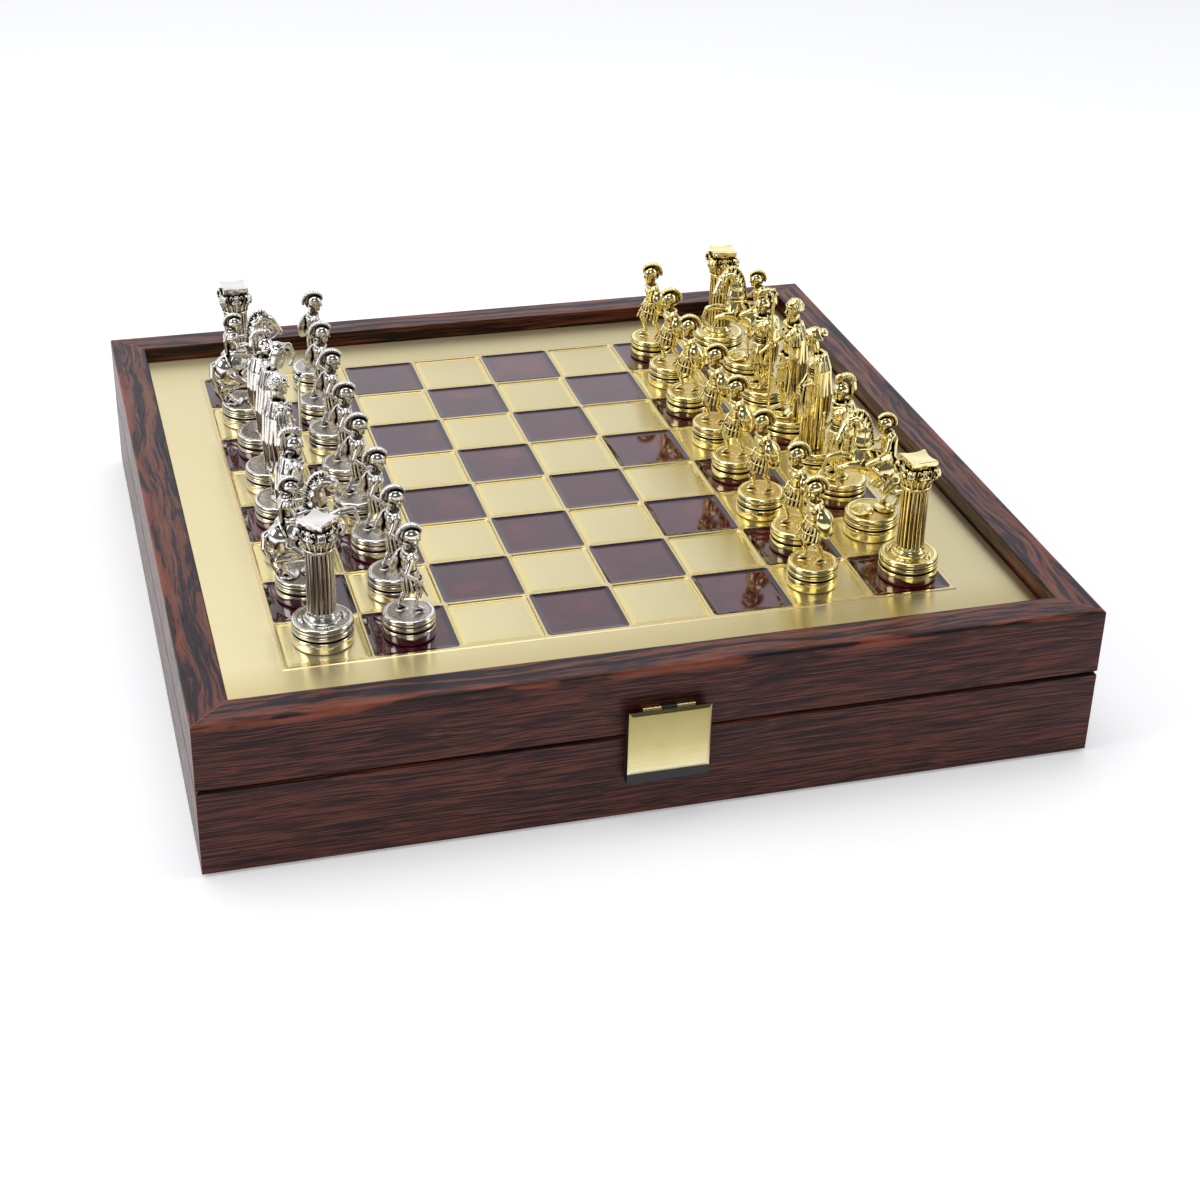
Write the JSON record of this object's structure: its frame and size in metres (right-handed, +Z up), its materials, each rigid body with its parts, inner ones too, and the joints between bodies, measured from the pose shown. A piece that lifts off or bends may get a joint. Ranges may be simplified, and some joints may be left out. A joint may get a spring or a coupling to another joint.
{
  "type": "chess storage case with chessmen",
  "caption": "Square hinged wooden storage case with a brass and enamel chessboard set in its lid, a flap clasp in front and cast metal chessmen standing on the board.",
  "frame": {"origin": "centre of the case's underside", "axes": "+Z up, +X to the right seen from the clasp, +Y from the clasp to the hinges"},
  "size_m": [0.27, 0.2784, 0.0984],
  "materials": {
    "wenge_veneer": "satin varnish over dark veneer",
    "panel_wood": "plain board",
    "felt": "short felt",
    "board_brass": "fine brushed, lacquered",
    "maroon_enamel": "glossy enamel",
    "hardware_brass": "fine brushed",
    "black_plastic": "moulded, matte",
    "steel": "plated steel",
    "silvered_metal": "polished cast metal, darkened in the recesses",
    "gilded_metal": "polished cast metal, darkened in the recesses"
  },
  "bodies": {
    "base": {"base_front_wall": "wenge_veneer", "base_right_wall": "wenge_veneer", "base_rear_wall": "wenge_veneer", "base_left_wall": "wenge_veneer", "base_bottom_panel": "panel_wood", "underside_felt": "felt", "base_felt_liner": "felt", "centre_divider": "panel_wood", "clasp_strike": "steel", "hinge_base_leaves": "hardware_brass", "hinge_pins": "steel", "hinge_screws_base": "steel"},
    "lid": {"lid_front_rail": "wenge_veneer", "lid_right_rail": "wenge_veneer", "lid_rear_rail": "wenge_veneer", "lid_left_rail": "wenge_veneer", "lid_panel": "panel_wood", "lid_felt_liner": "felt", "board_plate": "board_brass", "board_enamel_squares": "maroon_enamel", "hinge_lid_leaves": "hardware_brass", "hinge_screws_lid": "steel", "clasp_bracket": "hardware_brass", "clasp_screws": "steel", "clasp_pin": "steel"},
    "clasp_flap_body": {"clasp_flap": "black_plastic", "clasp_magnet": "steel", "clasp_faceplate": "hardware_brass"},
    "gold_bishop_1_man": {"gold_bishop_1": "gilded_metal"},
    "gold_bishop_2_man": {"gold_bishop_2": "gilded_metal"},
    "gold_king_man": {"gold_king": "gilded_metal"},
    "gold_knight_1_man": {"gold_knight_1": "gilded_metal"},
    "gold_knight_2_man": {"gold_knight_2": "gilded_metal"},
    "gold_pawn_1_man": {"gold_pawn_1": "gilded_metal"},
    "gold_pawn_2_man": {"gold_pawn_2": "gilded_metal"},
    "gold_pawn_3_man": {"gold_pawn_3": "gilded_metal"},
    "gold_pawn_4_man": {"gold_pawn_4": "gilded_metal"},
    "gold_pawn_5_man": {"gold_pawn_5": "gilded_metal"},
    "gold_pawn_6_man": {"gold_pawn_6": "gilded_metal"},
    "gold_pawn_7_man": {"gold_pawn_7": "gilded_metal"},
    "gold_pawn_8_man": {"gold_pawn_8": "gilded_metal"},
    "gold_queen_man": {"gold_queen": "gilded_metal"},
    "gold_rook_1_man": {"gold_rook_1": "gilded_metal"},
    "gold_rook_2_man": {"gold_rook_2": "gilded_metal"},
    "silver_bishop_1_man": {"silver_bishop_1": "silvered_metal"},
    "silver_bishop_2_man": {"silver_bishop_2": "silvered_metal"},
    "silver_king_man": {"silver_king": "silvered_metal"},
    "silver_knight_1_man": {"silver_knight_1": "silvered_metal"},
    "silver_knight_2_man": {"silver_knight_2": "silvered_metal"},
    "silver_pawn_1_man": {"silver_pawn_1": "silvered_metal"},
    "silver_pawn_2_man": {"silver_pawn_2": "silvered_metal"},
    "silver_pawn_3_man": {"silver_pawn_3": "silvered_metal"},
    "silver_pawn_4_man": {"silver_pawn_4": "silvered_metal"},
    "silver_pawn_5_man": {"silver_pawn_5": "silvered_metal"},
    "silver_pawn_6_man": {"silver_pawn_6": "silvered_metal"},
    "silver_pawn_7_man": {"silver_pawn_7": "silvered_metal"},
    "silver_pawn_8_man": {"silver_pawn_8": "silvered_metal"},
    "silver_queen_man": {"silver_queen": "silvered_metal"},
    "silver_rook_1_man": {"silver_rook_1": "silvered_metal"},
    "silver_rook_2_man": {"silver_rook_2": "silvered_metal"}
  },
  "joints": [
    {"name": "clasp_flap_hinge", "type": "hinge", "parent": "lid", "child": "clasp_flap_body", "pos_m": [-0.0013, -0.137, 0.0372], "axis": [-1, 0, 0], "range_deg": [0, 105]},
    {"name": "lid_hinge", "type": "hinge", "parent": "base", "child": "lid", "pos_m": [0, 0.1369, 0.02815], "axis": [-1, 0, 0], "range_deg": [0, 100]},
    {"name": "lift_gold_bishop_1", "type": "slide", "parent": "lid", "child": "gold_bishop_1_man", "axis": [0, 0, 1], "range_m": [0, 0.09]},
    {"name": "lift_gold_bishop_2", "type": "slide", "parent": "lid", "child": "gold_bishop_2_man", "axis": [0, 0, 1], "range_m": [0, 0.09]},
    {"name": "lift_gold_king", "type": "slide", "parent": "lid", "child": "gold_king_man", "axis": [0, 0, 1], "range_m": [0, 0.09]},
    {"name": "lift_gold_knight_1", "type": "slide", "parent": "lid", "child": "gold_knight_1_man", "axis": [0, 0, 1], "range_m": [0, 0.09]},
    {"name": "lift_gold_knight_2", "type": "slide", "parent": "lid", "child": "gold_knight_2_man", "axis": [0, 0, 1], "range_m": [0, 0.09]},
    {"name": "lift_gold_pawn_1", "type": "slide", "parent": "lid", "child": "gold_pawn_1_man", "axis": [0, 0, 1], "range_m": [0, 0.09]},
    {"name": "lift_gold_pawn_2", "type": "slide", "parent": "lid", "child": "gold_pawn_2_man", "axis": [0, 0, 1], "range_m": [0, 0.09]},
    {"name": "lift_gold_pawn_3", "type": "slide", "parent": "lid", "child": "gold_pawn_3_man", "axis": [0, 0, 1], "range_m": [0, 0.09]},
    {"name": "lift_gold_pawn_4", "type": "slide", "parent": "lid", "child": "gold_pawn_4_man", "axis": [0, 0, 1], "range_m": [0, 0.09]},
    {"name": "lift_gold_pawn_5", "type": "slide", "parent": "lid", "child": "gold_pawn_5_man", "axis": [0, 0, 1], "range_m": [0, 0.09]},
    {"name": "lift_gold_pawn_6", "type": "slide", "parent": "lid", "child": "gold_pawn_6_man", "axis": [0, 0, 1], "range_m": [0, 0.09]},
    {"name": "lift_gold_pawn_7", "type": "slide", "parent": "lid", "child": "gold_pawn_7_man", "axis": [0, 0, 1], "range_m": [0, 0.09]},
    {"name": "lift_gold_pawn_8", "type": "slide", "parent": "lid", "child": "gold_pawn_8_man", "axis": [0, 0, 1], "range_m": [0, 0.09]},
    {"name": "lift_gold_queen", "type": "slide", "parent": "lid", "child": "gold_queen_man", "axis": [0, 0, 1], "range_m": [0, 0.09]},
    {"name": "lift_gold_rook_1", "type": "slide", "parent": "lid", "child": "gold_rook_1_man", "axis": [0, 0, 1], "range_m": [0, 0.09]},
    {"name": "lift_gold_rook_2", "type": "slide", "parent": "lid", "child": "gold_rook_2_man", "axis": [0, 0, 1], "range_m": [0, 0.09]},
    {"name": "lift_silver_bishop_1", "type": "slide", "parent": "lid", "child": "silver_bishop_1_man", "axis": [0, 0, 1], "range_m": [0, 0.09]},
    {"name": "lift_silver_bishop_2", "type": "slide", "parent": "lid", "child": "silver_bishop_2_man", "axis": [0, 0, 1], "range_m": [0, 0.09]},
    {"name": "lift_silver_king", "type": "slide", "parent": "lid", "child": "silver_king_man", "axis": [0, 0, 1], "range_m": [0, 0.09]},
    {"name": "lift_silver_knight_1", "type": "slide", "parent": "lid", "child": "silver_knight_1_man", "axis": [0, 0, 1], "range_m": [0, 0.09]},
    {"name": "lift_silver_knight_2", "type": "slide", "parent": "lid", "child": "silver_knight_2_man", "axis": [0, 0, 1], "range_m": [0, 0.09]},
    {"name": "lift_silver_pawn_1", "type": "slide", "parent": "lid", "child": "silver_pawn_1_man", "axis": [0, 0, 1], "range_m": [0, 0.09]},
    {"name": "lift_silver_pawn_2", "type": "slide", "parent": "lid", "child": "silver_pawn_2_man", "axis": [0, 0, 1], "range_m": [0, 0.09]},
    {"name": "lift_silver_pawn_3", "type": "slide", "parent": "lid", "child": "silver_pawn_3_man", "axis": [0, 0, 1], "range_m": [0, 0.09]},
    {"name": "lift_silver_pawn_4", "type": "slide", "parent": "lid", "child": "silver_pawn_4_man", "axis": [0, 0, 1], "range_m": [0, 0.09]},
    {"name": "lift_silver_pawn_5", "type": "slide", "parent": "lid", "child": "silver_pawn_5_man", "axis": [0, 0, 1], "range_m": [0, 0.09]},
    {"name": "lift_silver_pawn_6", "type": "slide", "parent": "lid", "child": "silver_pawn_6_man", "axis": [0, 0, 1], "range_m": [0, 0.09]},
    {"name": "lift_silver_pawn_7", "type": "slide", "parent": "lid", "child": "silver_pawn_7_man", "axis": [0, 0, 1], "range_m": [0, 0.09]},
    {"name": "lift_silver_pawn_8", "type": "slide", "parent": "lid", "child": "silver_pawn_8_man", "axis": [0, 0, 1], "range_m": [0, 0.09]},
    {"name": "lift_silver_queen", "type": "slide", "parent": "lid", "child": "silver_queen_man", "axis": [0, 0, 1], "range_m": [0, 0.09]},
    {"name": "lift_silver_rook_1", "type": "slide", "parent": "lid", "child": "silver_rook_1_man", "axis": [0, 0, 1], "range_m": [0, 0.09]},
    {"name": "lift_silver_rook_2", "type": "slide", "parent": "lid", "child": "silver_rook_2_man", "axis": [0, 0, 1], "range_m": [0, 0.09]}
  ]
}
